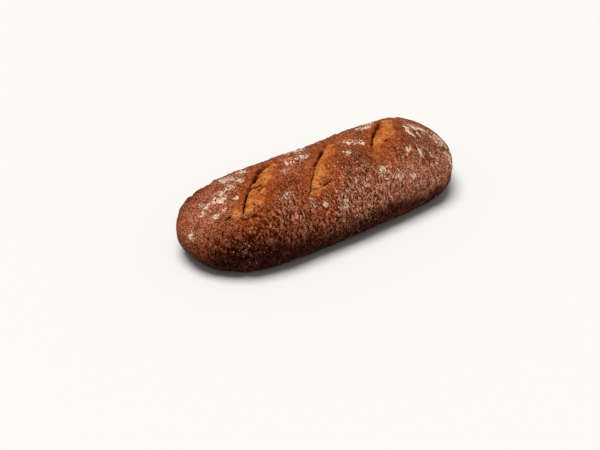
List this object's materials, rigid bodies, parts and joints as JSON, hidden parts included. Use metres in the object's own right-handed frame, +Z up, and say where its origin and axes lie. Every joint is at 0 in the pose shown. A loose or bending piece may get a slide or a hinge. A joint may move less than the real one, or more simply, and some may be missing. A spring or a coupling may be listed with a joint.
{
  "type": "rye bread loaf",
  "caption": "Long oval dark rye loaf, hearth-baked, with diagonal slashes torn open across a domed crown and a flat bottom to stand on.",
  "frame": {"origin": "middle of the loaf's box in plan, at the flat bottom it rests on", "axes": "+X along the loaf towards its blunter end, +Y across it, +Z up out of the crown"},
  "size_m": [0.3, 0.117, 0.0712],
  "materials": {
    "crust": "matt, dry, wrinkled brown crust dusted with flour"
  },
  "bodies": {
    "root": {"loaf": "crust"}
  },
  "joints": []
}
